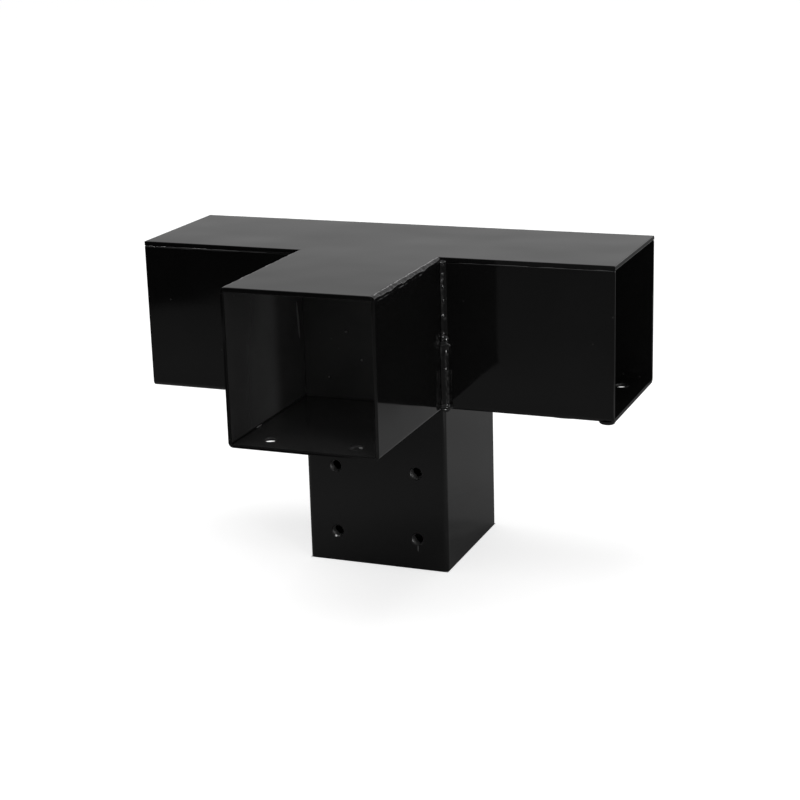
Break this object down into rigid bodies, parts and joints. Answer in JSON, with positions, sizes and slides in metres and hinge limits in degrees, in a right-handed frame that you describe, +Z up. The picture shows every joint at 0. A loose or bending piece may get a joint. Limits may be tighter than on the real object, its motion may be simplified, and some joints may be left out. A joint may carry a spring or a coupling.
{
  "type": "four-way post connector",
  "caption": "Welded steel node that joins three level square beams to the head of one post, in open sockets with screw holes.",
  "frame": {"origin": "on the plane of the leg's open end, under the middle of the overall box; the post's axis stands at Y = +0.055", "axes": "+Z up along the post, +X along the run of the left and right sockets, -Y out of the front socket's mouth"},
  "size_m": [0.317, 0.207, 0.208],
  "materials": {
    "sheet_coat": "gloss black powder coat on sheet steel",
    "weld_coat": "gloss black powder coat on weld beads"
  },
  "bodies": {
    "root": {"top_plate": "sheet_coat", "cross_channel": "sheet_coat", "front_channel": "sheet_coat", "leg_tube": "sheet_coat", "corner_weld_right": "weld_coat", "corner_weld_left": "weld_coat", "plate_weld_right": "weld_coat", "plate_weld_left": "weld_coat", "plate_weld_back": "weld_coat", "leg_weld_right": "weld_coat", "leg_weld_left": "weld_coat", "leg_weld_front": "weld_coat", "leg_weld_back": "weld_coat"}
  },
  "joints": []
}
